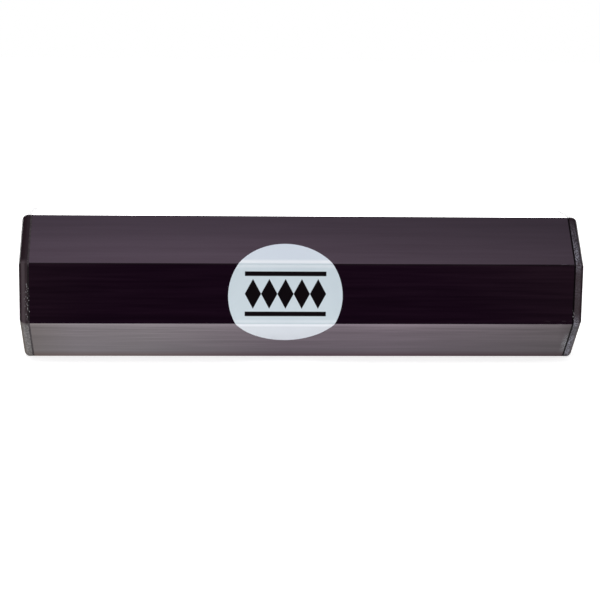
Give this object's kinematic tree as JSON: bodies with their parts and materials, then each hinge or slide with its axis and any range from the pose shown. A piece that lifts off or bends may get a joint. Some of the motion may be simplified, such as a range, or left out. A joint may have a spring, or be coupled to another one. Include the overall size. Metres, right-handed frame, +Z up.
{
  "type": "tube shaker",
  "caption": "Eight-sided black aluminium tube shaker with moulded end caps, a round label folded over its front, and rows of loose steel shot that slide along inside.",
  "frame": {"origin": "middle of the bottom flat of the tube, on the surface that the shaker lies on", "axes": "+X along the tube towards the right cap, -Y out of the flat that carries the label, +Z up"},
  "size_m": [0.1946, 0.0501, 0.05],
  "materials": {
    "anodised_tube": "black anodised, fine extrusion lines along the length, satin",
    "moulded_cap": "black moulded plastic, satin, lightly scuffed",
    "label_film": "pale blue-grey printed film, satin",
    "steel_shot": "polished steel balls"
  },
  "bodies": {
    "shell": {"tube": "anodised_tube", "left_cap": "moulded_cap", "right_cap": "moulded_cap", "label": "label_film"},
    "shot_row_01": {"shot_row_01": "steel_shot"},
    "shot_row_02": {"shot_row_02": "steel_shot"},
    "shot_row_03": {"shot_row_03": "steel_shot"},
    "shot_row_04": {"shot_row_04": "steel_shot"},
    "shot_row_05": {"shot_row_05": "steel_shot"},
    "shot_row_06": {"shot_row_06": "steel_shot"},
    "shot_row_07": {"shot_row_07": "steel_shot"},
    "shot_row_08": {"shot_row_08": "steel_shot"},
    "shot_row_09": {"shot_row_09": "steel_shot"},
    "shot_row_10": {"shot_row_10": "steel_shot"},
    "shot_row_11": {"shot_row_11": "steel_shot"},
    "shot_row_12": {"shot_row_12": "steel_shot"},
    "shot_row_13": {"shot_row_13": "steel_shot"},
    "shot_row_14": {"shot_row_14": "steel_shot"},
    "shot_row_15": {"shot_row_15": "steel_shot"},
    "shot_row_16": {"shot_row_16": "steel_shot"}
  },
  "joints": [
    {"name": "shot_row_01_slide", "type": "slide", "parent": "shell", "child": "shot_row_01", "axis": [1, 0, 0], "range_m": [-0.0434, 0.0434]},
    {"name": "shot_row_02_slide", "type": "slide", "parent": "shell", "child": "shot_row_02", "axis": [1, 0, 0], "range_m": [-0.0434, 0.0434]},
    {"name": "shot_row_03_slide", "type": "slide", "parent": "shell", "child": "shot_row_03", "axis": [1, 0, 0], "range_m": [-0.0434, 0.0434]},
    {"name": "shot_row_04_slide", "type": "slide", "parent": "shell", "child": "shot_row_04", "axis": [1, 0, 0], "range_m": [-0.0434, 0.0434]},
    {"name": "shot_row_05_slide", "type": "slide", "parent": "shell", "child": "shot_row_05", "axis": [1, 0, 0], "range_m": [-0.0434, 0.0434]},
    {"name": "shot_row_06_slide", "type": "slide", "parent": "shell", "child": "shot_row_06", "axis": [1, 0, 0], "range_m": [-0.0434, 0.0434]},
    {"name": "shot_row_07_slide", "type": "slide", "parent": "shell", "child": "shot_row_07", "axis": [1, 0, 0], "range_m": [-0.0434, 0.0434]},
    {"name": "shot_row_08_slide", "type": "slide", "parent": "shell", "child": "shot_row_08", "axis": [1, 0, 0], "range_m": [-0.0607, 0.0607]},
    {"name": "shot_row_09_slide", "type": "slide", "parent": "shell", "child": "shot_row_09", "axis": [1, 0, 0], "range_m": [-0.0607, 0.0607]},
    {"name": "shot_row_10_slide", "type": "slide", "parent": "shell", "child": "shot_row_10", "axis": [1, 0, 0], "range_m": [-0.0607, 0.0607]},
    {"name": "shot_row_11_slide", "type": "slide", "parent": "shell", "child": "shot_row_11", "axis": [1, 0, 0], "range_m": [-0.0607, 0.0607]},
    {"name": "shot_row_12_slide", "type": "slide", "parent": "shell", "child": "shot_row_12", "axis": [1, 0, 0], "range_m": [-0.0517, 0.0517]},
    {"name": "shot_row_13_slide", "type": "slide", "parent": "shell", "child": "shot_row_13", "axis": [1, 0, 0], "range_m": [-0.0517, 0.0517]},
    {"name": "shot_row_14_slide", "type": "slide", "parent": "shell", "child": "shot_row_14", "axis": [1, 0, 0], "range_m": [-0.069, 0.069]},
    {"name": "shot_row_15_slide", "type": "slide", "parent": "shell", "child": "shot_row_15", "axis": [1, 0, 0], "range_m": [-0.069, 0.069]},
    {"name": "shot_row_16_slide", "type": "slide", "parent": "shell", "child": "shot_row_16", "axis": [1, 0, 0], "range_m": [-0.069, 0.069]}
  ]
}
